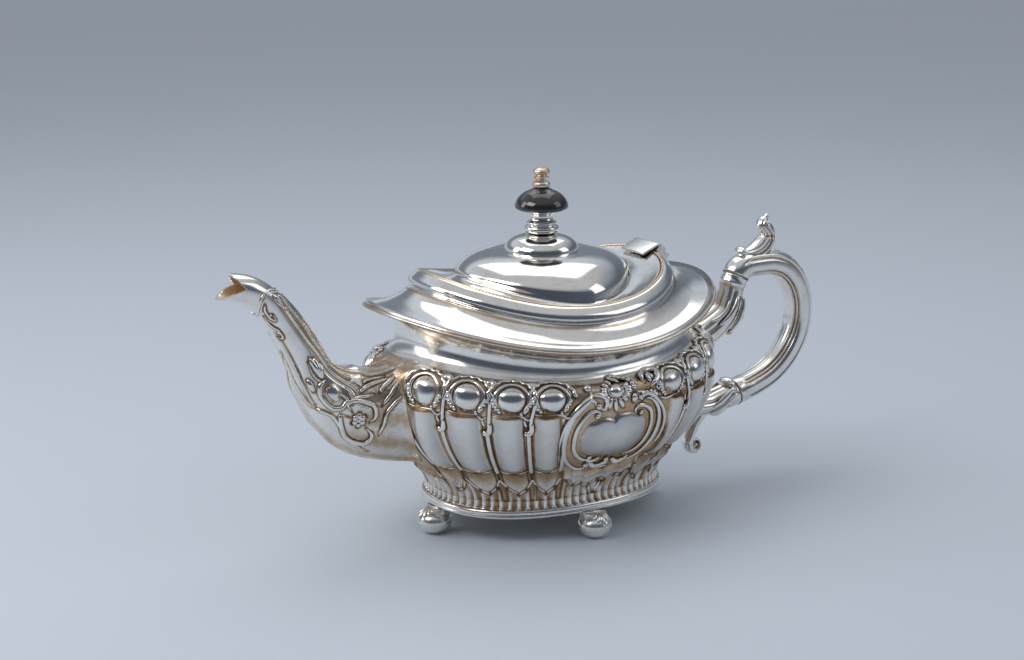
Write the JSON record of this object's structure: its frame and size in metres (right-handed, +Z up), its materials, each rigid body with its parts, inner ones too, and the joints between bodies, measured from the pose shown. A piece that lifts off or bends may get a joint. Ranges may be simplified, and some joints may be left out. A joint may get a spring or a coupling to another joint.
{
  "type": "teapot",
  "caption": "Oval fluted silver teapot with a saddle-shaped rim, a hinged domed lid with a black mushroom finial, a beaked spout, a scroll handle and ball feet.",
  "frame": {"origin": "on the table, under the middle of the body", "axes": "+Z up, -X out along the spout, +X out to the handle, -Y to the side with the chief panel of ornament"},
  "size_m": [0.3025, 0.124, 0.1533],
  "materials": {
    "silver": "polished silver plate with brown tarnish in the recesses",
    "worn_silver": "worn plate, warm and satin",
    "black_knob": "glossy black",
    "washer": "brown fibre"
  },
  "bodies": {
    "pot": {"body_shell": "silver", "foot_band": "silver", "base_rim": "silver", "foot_front": "silver", "foot_rear": "silver", "foot_spout_end": "silver", "foot_handle_end": "silver", "rim_wire": "worn_silver", "top_cover": "silver", "lid_seat": "silver", "spout": "silver", "spout_lip": "silver", "spout_collar": "silver", "hinge_body": "worn_silver", "hinge_pin": "silver", "handle_upper_socket": "silver", "handle_upper_washer": "washer", "handle_grip": "silver", "thumb_rest": "silver", "handle_lower_washer": "washer", "handle_lower_socket": "silver", "handle_pins": "worn_silver"},
    "lid": {"lid_shell": "silver", "lid_collar": "silver", "finial_seat": "silver", "finial_bobbin": "silver", "finial_disc": "black_knob", "finial_cap": "worn_silver", "finial_stud": "worn_silver", "finial_washer": "silver", "finial_nut": "worn_silver", "hinge_leaf": "worn_silver"}
  },
  "joints": [
    {"name": "lid_hinge", "type": "hinge", "parent": "pot", "child": "lid", "pos_m": [0.0571, 0, 0.1119], "axis": [0, 1, 0], "range_deg": [0, 95]}
  ]
}
